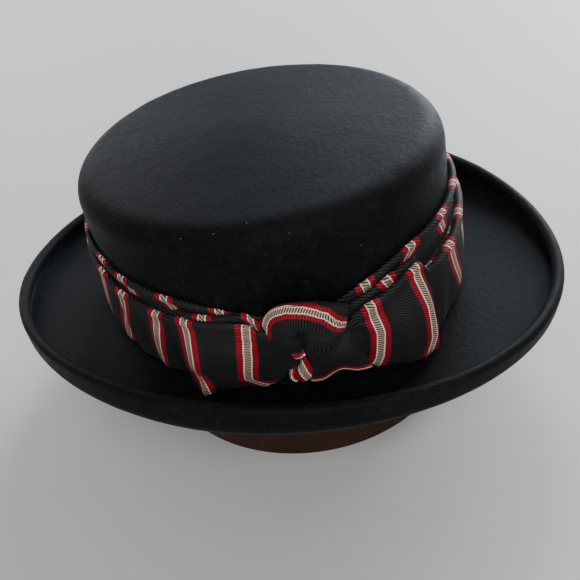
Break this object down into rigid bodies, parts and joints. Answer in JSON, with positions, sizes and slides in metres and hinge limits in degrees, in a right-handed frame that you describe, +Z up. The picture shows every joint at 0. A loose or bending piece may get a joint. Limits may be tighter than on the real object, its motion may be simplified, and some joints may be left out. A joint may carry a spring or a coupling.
{
  "type": "wool felt hat",
  "caption": "Blocked wool felt hat with a flat oval crown, rolled oval brim, folded striped cloth band with a knot at the side, and a turned-down leather sweatband.",
  "frame": {"origin": "under the middle of the brim, on the surface that the turned-down sweatband stands on", "axes": "+Z up through the crown, +X to the wearer's left, where the knot is, and -Y towards the wearer's face; +Y is the long way of the brim"},
  "size_m": [0.2602, 0.3348, 0.1694],
  "materials": {
    "felt": "matt brushed wool felt",
    "tie_cloth": "soft sheen twill with red and cream stripes",
    "leather": "satin brown leather"
  },
  "bodies": {
    "root": {"felt_body": "felt", "hat_band": "tie_cloth", "band_knot": "tie_cloth", "sweatband": "leather"}
  },
  "joints": []
}
